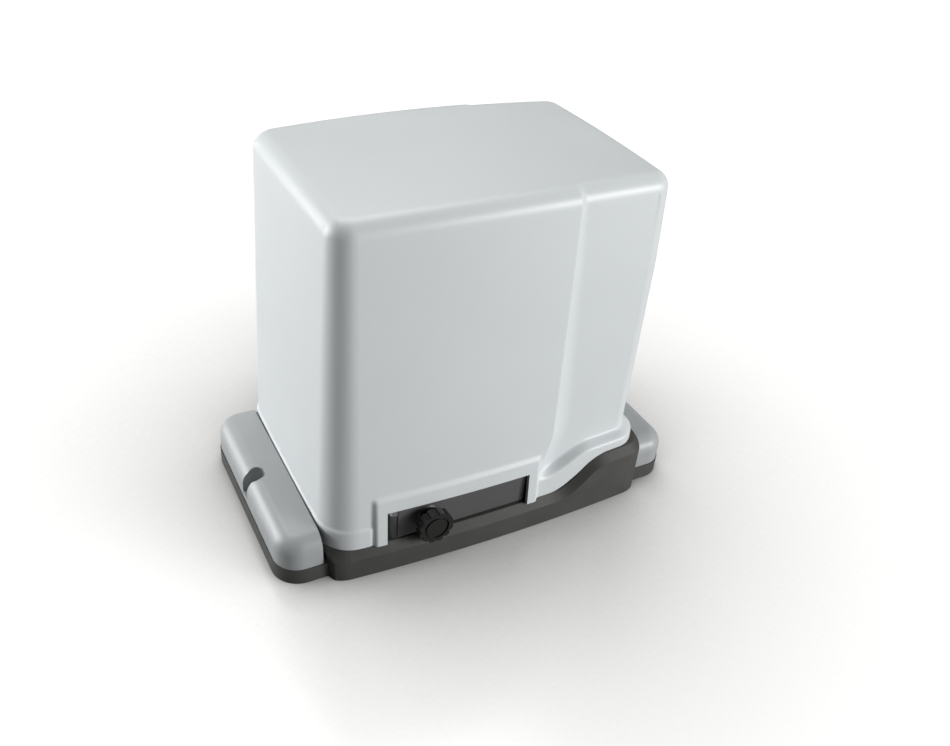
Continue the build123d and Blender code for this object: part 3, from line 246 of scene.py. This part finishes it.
def crown(x, y):
    """Height of the crowned top: a sphere of crown_radius, written as its parabola."""
    return hood_top - (x * x + y * y) / (2 * crown_radius)


def hood_plan():
    """The plan's columns, with the stops that the door, the arch and the wave need."""
    first_x, last_x = -straight_x, straight_x - corner_gap
    front_x = spread(
        first_x, (door_left - bead_reach_left, 4), (door_left - jamb_flat, 8),
        (door_left - jamb_step, 5), (door_left, 1), (door_right, 40),
        (door_right + jamb_step, 1), (door_right + jamb_flat, 5),
        (door_right + bead_reach_right, 8), (wave_end, 60), (last_x, 8),
    )
    back_x = spread(
        first_x, (arch_left - jamb_step, 8), (arch_left, 1), (arch_left + arch_steep, 3),
        (arch_left + arch_turn, 6), (arch_left + arch_round, 8), (arch_right - arch_round, 20),
        (arch_right - arch_turn, 8), (arch_right - arch_steep, 6), (arch_right, 3),
        (arch_right + jamb_step, 1), (wave_start, 8), (wave_end, 40), (last_x, 6),
    )
    last_y = straight_y - corner_gap
    return rounded_plan(front_x, back_x, np.linspace(-last_y, last_y, side_columns))


def hood_shell():
    """The hood as one closed shell. Columns run round the plan, and rows run up the wall, over
    the round top edge and in to the middle of the crown; the inner wall is the same surface
    drawn in by the wall's thickness, and the two meet along the lower edge."""
    plan, normal = hood_plan()
    columns = len(plan)
    edge = lower_edge(plan)
    levels = spread(rim_low, *wall_rows)
    turn = np.radians(spread(0.0, (90.0, round_rows)))
    inward = spread(1.0, *crown_rows)

    def skin(extra):
        """The outer surface drawn in by extra: each column's wall up to its own top, a quarter
        circle over the edge, and spokes that shrink to the crown's middle."""
        full_round = top_round - extra
        rim_in = draw_in(plan[:, 0], plan[:, 1], np.full(columns, strip_fade_z)) + extra
        ring = plan - normal * (rim_in + full_round)[:, None]
        wall_top = crown(ring[:, 0], ring[:, 1]) - extra - full_round
        z = np.maximum(np.minimum(levels[:, None], wall_top[None, :]), edge[None, :])
        x0 = np.broadcast_to(plan[:, 0], z.shape)
        y0 = np.broadcast_to(plan[:, 1], z.shape)
        inset = draw_in(x0, y0, z) + extra
        blend = smooth_step(z, blend_low, blend_high)
        inset = inset * (1 - blend) + np.minimum(inset, rim_in[None, :]) * blend
        side = np.stack([x0 - normal[:, 0] * inset, y0 - normal[:, 1] * inset, z], -1)
        curve_in = rim_in[None, :] + full_round * (1 - np.cos(turn))[:, None]
        curve_z = wall_top[None, :] + full_round * np.sin(turn)[:, None]
        rounded = np.stack([
            plan[:, 0] - normal[:, 0] * curve_in, plan[:, 1] - normal[:, 1] * curve_in, curve_z,
        ], -1)
        spokes = ring[None, :, :] * inward[1:, None, None]
        spokes_z = crown(spokes[..., 0], spokes[..., 1]) - extra
        top = np.concatenate([spokes, spokes_z[..., None]], -1)
        return np.concatenate([side, rounded, top]).reshape(-1, 3)

    outer, inner = skin(0.0), skin(wall)
    rows = len(outer) // columns
    out_faces = ring_faces(rows, columns)
    in_faces = ring_faces(rows, columns, len(outer))[:, ::-1]
    column = np.arange(columns)
    after = (column + 1) % columns
    rim_faces = np.stack([after, column, column + len(outer), after + len(outer)], -1)
    faces = np.concatenate([out_faces, in_faces, rim_faces])
    return make_mesh("hood_shell", np.concatenate([outer, inner]), faces)


# Shader nodes

def fill(node, **values):
    """Sets a node's sockets by name, with an underscore where the name has a space."""
    for socket, value in values.items():
        node.inputs[socket.replace("_", " ")].default_value = value
    return node


def add(tree, kind, **values):
    """A new node of the given kind, with its sockets filled."""
    return fill(tree.nodes.new(kind), **values)


def wire(tree, source, output, target, socket):
    """Links one node's output to another node's socket."""
    tree.links.new(source.outputs[output], target.inputs[socket])


def new_material(name):
    """An empty material, with its node tree and its Principled shader."""
    material = bpy.data.materials.new(name)
    material.use_nodes = True
    tree = material.node_tree
    return material, tree, tree.nodes["Principled BSDF"]


def lay(tree, texture, **mapping):
    """Lays a texture on Object coordinates, stretched or turned where a mapping is given."""
    place, output = add(tree, "ShaderNodeTexCoord"), "Object"
    if mapping:
        turned = add(tree, "ShaderNodeMapping", **mapping)
        wire(tree, place, output, turned, "Vector")
        place, output = turned, "Vector"
    wire(tree, place, output, texture, "Vector")
    return texture


def noise(tree, scale, detail, rough=0.5, **mapping):
    """Cloudy noise with the given number of cells to a metre."""
    texture = add(tree, "ShaderNodeTexNoise", Scale=scale, Detail=detail, Roughness=rough)
    return lay(tree, texture, **mapping)


def tint(tree, source, low, high, shader):
    """Colours a surface between two close shades, over the middle of a texture's range."""
    ramp = add(tree, "ShaderNodeValToRGB")
    for stop, position, shade in zip(ramp.color_ramp.elements, (0.3, 0.7), (low, high)):
        stop.position = position
        stop.color = (*shade, 1)
    wire(tree, source, "Fac", ramp, "Fac")
    wire(tree, ramp, "Color", shader, "Base Color")


def vary_gloss(tree, source, low, high, shader):
    """Runs the roughness from low to high with a texture's value."""
    span = add(tree, "ShaderNodeMapRange", To_Min=low, To_Max=high)
    wire(tree, source, "Fac", span, "Value")
    wire(tree, span, "Result", shader, "Roughness")


def bump(tree, source, strength, depth, shader):
    """Tilts the surface by strength, as if a texture's value were a height of up to depth
    in metres."""
    relief = add(tree, "ShaderNodeBump", Strength=strength, Distance=depth)
    wire(tree, source, "Fac", relief, "Height")
    wire(tree, relief, "Normal", shader, "Normal")


def darker(colour, part):
    """A colour with each channel multiplied by part."""
    return tuple(part * channel for channel in colour)


# Materials

def moulded(name, colour, roughness, grain=1400.0, depth=0.00004, spread_by=0.04):
    """Moulded plastic: an even colour with a slight flow variation and a fine spark grain."""
    material, tree, shader = new_material(name)
    flow = noise(tree, scale=14.0, detail=3.0)
    grainy = noise(tree, scale=grain, detail=2.0, rough=0.6)
    tint(tree, flow, darker(colour, 1 - spread_by), colour, shader)
    vary_gloss(tree, flow, roughness - 0.04, roughness + 0.04, shader)
    bump(tree, grainy, 0.35, depth, shader)
    return material


def painted_casting(name, colour, roughness):
    """Painted die casting: paint that follows a slightly uneven skin, with small pits."""
    material, tree, shader = new_material(name)
    flow = noise(tree, scale=40.0, detail=4.0)
    skin = noise(tree, scale=420.0, detail=3.0, rough=0.65)
    tint(tree, flow, darker(colour, 0.88), darker(colour, 1.1), shader)
    vary_gloss(tree, flow, roughness - 0.05, roughness + 0.07, shader)
    bump(tree, skin, 0.5, 0.00012, shader)
    return material


def bare_metal(name, colour, roughness, stretch=(1, 1, 1), scale=300.0, depth=0.00004):
    """Bare metal: machining or casting marks, stretched along the way it was worked."""
    material, tree, shader = new_material(name)
    marks = noise(tree, scale=scale, detail=3.0, rough=0.6, Scale=stretch)
    cloudy = noise(tree, scale=35.0, detail=3.0)
    fill(shader, Metallic=1.0)
    tint(tree, cloudy, darker(colour, 0.86), colour, shader)
    vary_gloss(tree, marks, roughness - 0.08, roughness + 0.1, shader)
    bump(tree, marks, 0.4, depth, shader)
    return material


def banded(name, colour, direction, scale, waver, shade, strength, depth, **surface):
    """Metal in narrow bands that run across the given direction and darken to shade."""
    material, tree, shader = new_material(name)
    bands = lay(tree, add(tree, "ShaderNodeTexWave", Scale=scale, Distortion=waver))
    bands.bands_direction = direction
    fill(shader, **surface)
    tint(tree, bands, darker(colour, shade), colour, shader)
    bump(tree, bands, strength, depth, shader)
    return material


def laminated(name, colour):
    """A stack of thin sheets: fine level bands over dull steel."""
    return banded(
        name, colour, "Z", scale=320.0, waver=0.4, shade=0.6, strength=0.5, depth=0.0002,
        Metallic=0.8, Roughness=0.5,
    )


def wound_wire(name, colour):
    """Lacquered copper wire: narrow slanted bands with a clear gloss."""
    return banded(
        name, colour, "DIAGONAL", scale=260.0, waver=1.5, shade=0.5, strength=0.6, depth=0.0003,
        Metallic=0.7, Roughness=0.3,
    )


def solder_mask(name, colour):
    """Circuit board lacquer: fine tracks show as a darker net, turned onto the upright board."""
    material, tree, shader = new_material(name)
    cells = add(
        tree, "ShaderNodeTexBrick", Scale=90.0, Color1=(*colour, 1), Mortar_Size=0.06,
        Color2=(*darker(colour, 1.35), 1), Mortar=(*darker(colour, 0.7), 1),
    )
    lay(tree, cells, Rotation=(np.pi / 2, 0, 0))
    wire(tree, cells, "Color", shader, "Base Color")
    fill(shader, Roughness=0.32)
    return material


hood_grey = (0.60, 0.63, 0.64)
# Foot covers: the hood's plastic darkened by this part, partly the covers' own greyer tone and
# partly painted shade
cover_tone_and_painted_shade = 0.56
hood_skin = {"roughness": 0.42, "grain": 1500.0, "depth": 0.00003, "spread_by": 0.02}
cast_skin = {"roughness": 0.45, "scale": 160.0, "depth": 0.0001}
finish = {
    "hood_plastic": moulded("hood_plastic", hood_grey, **hood_skin),
    "cover_plastic": moulded("cover_plastic", darker(hood_grey, cover_tone_and_painted_shade), **hood_skin),
    "dark_cast": painted_casting("dark_cast", (0.058, 0.058, 0.054), 0.42),
    "dark_plastic": moulded("dark_plastic", (0.082, 0.082, 0.084), 0.38),
    "black_plastic": moulded("black_plastic", (0.009, 0.009, 0.008), 0.4),
    "bare_aluminium": bare_metal("bare_aluminium", (0.62, 0.63, 0.64), **cast_skin),
    "machined_steel": bare_metal("machined_steel", (0.55, 0.55, 0.56), 0.28, (1, 12, 1)),
    "zinc_screws": bare_metal("zinc_screws", (0.66, 0.67, 0.66), 0.3),
    "wheel_bronze": bare_metal("wheel_bronze", (0.62, 0.42, 0.18), 0.33, (1, 10, 1)),
    "motor_paint": painted_casting("motor_paint", (0.09, 0.09, 0.095), 0.35),
    "laminated_steel": laminated("laminated_steel", (0.34, 0.34, 0.35)),
    "copper_enamel": wound_wire("copper_enamel", (0.55, 0.22, 0.08)),
    "seal_rubber": moulded("seal_rubber", (0.03, 0.03, 0.03), 0.6),
    "circuit_board": solder_mask("circuit_board", (0.03, 0.16, 0.07)),
    "terminal_green": moulded("terminal_green", (0.05, 0.30, 0.12), 0.4),
    "white_plastic": moulded("white_plastic", (0.80, 0.80, 0.78), 0.4),
    "fuse_glass": moulded("fuse_glass", (0.70, 0.72, 0.70), 0.12),
}


def dress(piece, slot):
    """Gives a piece one finish alone."""
    piece.data.materials.clear()
    piece.data.materials.append(finish[slot])


slot_of = {part["node"]: part["material_slot"] for part in frame["record"]["subparts"]}
for node_name, node in nodes.items():
    dress(node, slot_of[node_name])
# The foot covers get the darkened copy of the hood plastic: partly their own tone, partly painted
# shade
for node_name in ("foot_cover_left", "foot_cover_right"):
    dress(nodes[node_name], "cover_plastic")


# Hood
hood = hood_shell()
dress(hood, "hood_plastic")
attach(hood, "hood_shell")
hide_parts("hood")


# Floor, light and camera, in metres
white = (1, 1, 1, 1)
floor_reach = 6.0
floor_bounce, floor_sheen = (0.25, 0.25, 0.25, 1), (0.12, 0.12, 0.118, 1)
floor_glow = (1.0, 0.995, 0.98, 1)
# Painted shadow on the floor: how far the ambient occlusion reaches, and the power that deepens
# it
painted_shadow_reach, painted_shadow_power = 0.35, 2.2
sky_strength, background_strength = 0.03, 1.0

# Each lamp's name, place, height of the point on the middle axis that it faces, side and watts
lamps = (
    ("left_lamp", (-1.3, 0.7, 0.6), 0.14, 0.9, 9.0),
    ("left_back_lamp", (-0.95, 0.6, 0.35), 0.14, 0.6, 10.0),
    ("front_lamp", (0.5, -1.1, 0.5), 0.14, 0.5, 4.0),
    ("right_lamp", (2.3, -2.4, 1.0), 0.12, 1.0, 95.0),
    ("top_lamp", (0.1, 0.8, 1.6), 0.2, 1.2, 21.0),
)

# Camera fitted to the photo: place in millimetres, turns in radians, focal length in its pixels
camera_place = np.array([-287.34, -528.06, 503.16])
yaw, pitch, roll = 0.53433, 0.60582, 0.09234
focal_pixels, photo_width = 948.2, 950.0
sensor_width = 36.0


def studio_floor():
    """A level floor. Other rays meet a dull grey, and the camera sees a faint sheen and a white
    glow with a painted shadow round the object: the glow's strength is the open share of the sky
    over a point, raised to the painted shadow's power."""
    mesh = bpy.data.meshes.new("floor")
    near, far = -floor_reach, floor_reach
    corners = [(near, near, 0), (far, near, 0), (far, far, 0), (near, far, 0)]
    mesh.from_pydata(corners, [], [(0, 1, 2, 3)])
    floor = new_object("floor", mesh)
    material, tree, bounce = new_material("pale_floor")
    fill(bounce, Base_Color=floor_bounce, Roughness=0.5)
    sheen = add(tree, "ShaderNodeBsdfPrincipled", Base_Color=floor_sheen, Roughness=0.22)
    # Painted shadow: ambient occlusion darkens the white glow that the camera sees round the
    # object
    painted_shadow_occlusion = add(tree, "ShaderNodeAmbientOcclusion", Distance=painted_shadow_reach)
    painted_shadow_deepen = add(tree, "ShaderNodeMath")
    painted_shadow_deepen.operation = "POWER"
    painted_shadow_deepen.inputs[1].default_value = painted_shadow_power
    glow = add(tree, "ShaderNodeEmission", Color=floor_glow)
    light_path = add(tree, "ShaderNodeLightPath")
    seen = add(tree, "ShaderNodeAddShader")
    choose = add(tree, "ShaderNodeMixShader")
    wire(tree, painted_shadow_occlusion, "AO", painted_shadow_deepen, 0)
    wire(tree, painted_shadow_deepen, "Value", glow, "Strength")
    wire(tree, sheen, "BSDF", seen, 0)
    wire(tree, glow, "Emission", seen, 1)
    wire(tree, light_path, "Is Camera Ray", choose, "Fac")
    wire(tree, bounce, "BSDF", choose, 1)
    wire(tree, seen, "Shader", choose, 2)
    wire(tree, choose, "Shader", tree.nodes["Material Output"], "Surface")
    mesh.materials.append(material)


def studio_world():
    """A faint surround that lights the object a little, seen as plain white by the camera."""
    world = bpy.data.worlds.new("studio")
    bpy.context.scene.world = world
    world.use_nodes = True
    tree = world.node_tree
    light = fill(tree.nodes["Background"], Color=white, Strength=sky_strength)
    seen = add(tree, "ShaderNodeBackground", Color=white, Strength=background_strength)
    light_path = add(tree, "ShaderNodeLightPath")
    choose = add(tree, "ShaderNodeMixShader")
    wire(tree, light_path, "Is Camera Ray", choose, "Fac")
    wire(tree, light, "Background", choose, 1)
    wire(tree, seen, "Background", choose, 2)
    wire(tree, choose, "Shader", tree.nodes["World Output"], "Surface")


def soft_box(name, place, aim_height, side, power):
    """A square lamp at place, facing the middle axis at aim_height."""
    data = bpy.data.lights.new(name, "AREA")
    data.shape = "RECTANGLE"
    data.size, data.size_y = side, side
    data.energy = power
    lamp = new_object(name, data)
    lamp.location = place
    aim = Vector((0, 0, aim_height)) - Vector(place)
    lamp.rotation_euler = aim.to_track_quat("-Z", "Y").to_euler()


def photo_camera():
    """The camera at the photo's angle. It looks along yaw and pitch, then turns by roll about
    that line, and its lens is the focal length as a share of the picture's width."""
    ahead = np.array([np.sin(yaw) * np.cos(pitch), np.cos(yaw) * np.cos(pitch), -np.sin(pitch)])
    level = np.array([np.cos(yaw), -np.sin(yaw), 0.0])
    over = np.cross(level, ahead)
    right = np.cos(roll) * level + np.sin(roll) * over
    up = -np.sin(roll) * level + np.cos(roll) * over
    data = bpy.data.cameras.new("camera")
    data.sensor_fit = "HORIZONTAL"
    data.sensor_width = sensor_width
    data.lens = focal_pixels / photo_width * data.sensor_width
    camera = new_object("camera", data)
    turn = Matrix((right, up, -ahead)).transposed().to_4x4()
    camera.matrix_world = Matrix.Translation(camera_place * MM) @ turn
    bpy.context.scene.camera = camera


studio_floor()
studio_world()
for lamp_values in lamps:
    soft_box(*lamp_values)
photo_camera()
bpy.context.scene.view_settings.view_transform = "Standard"
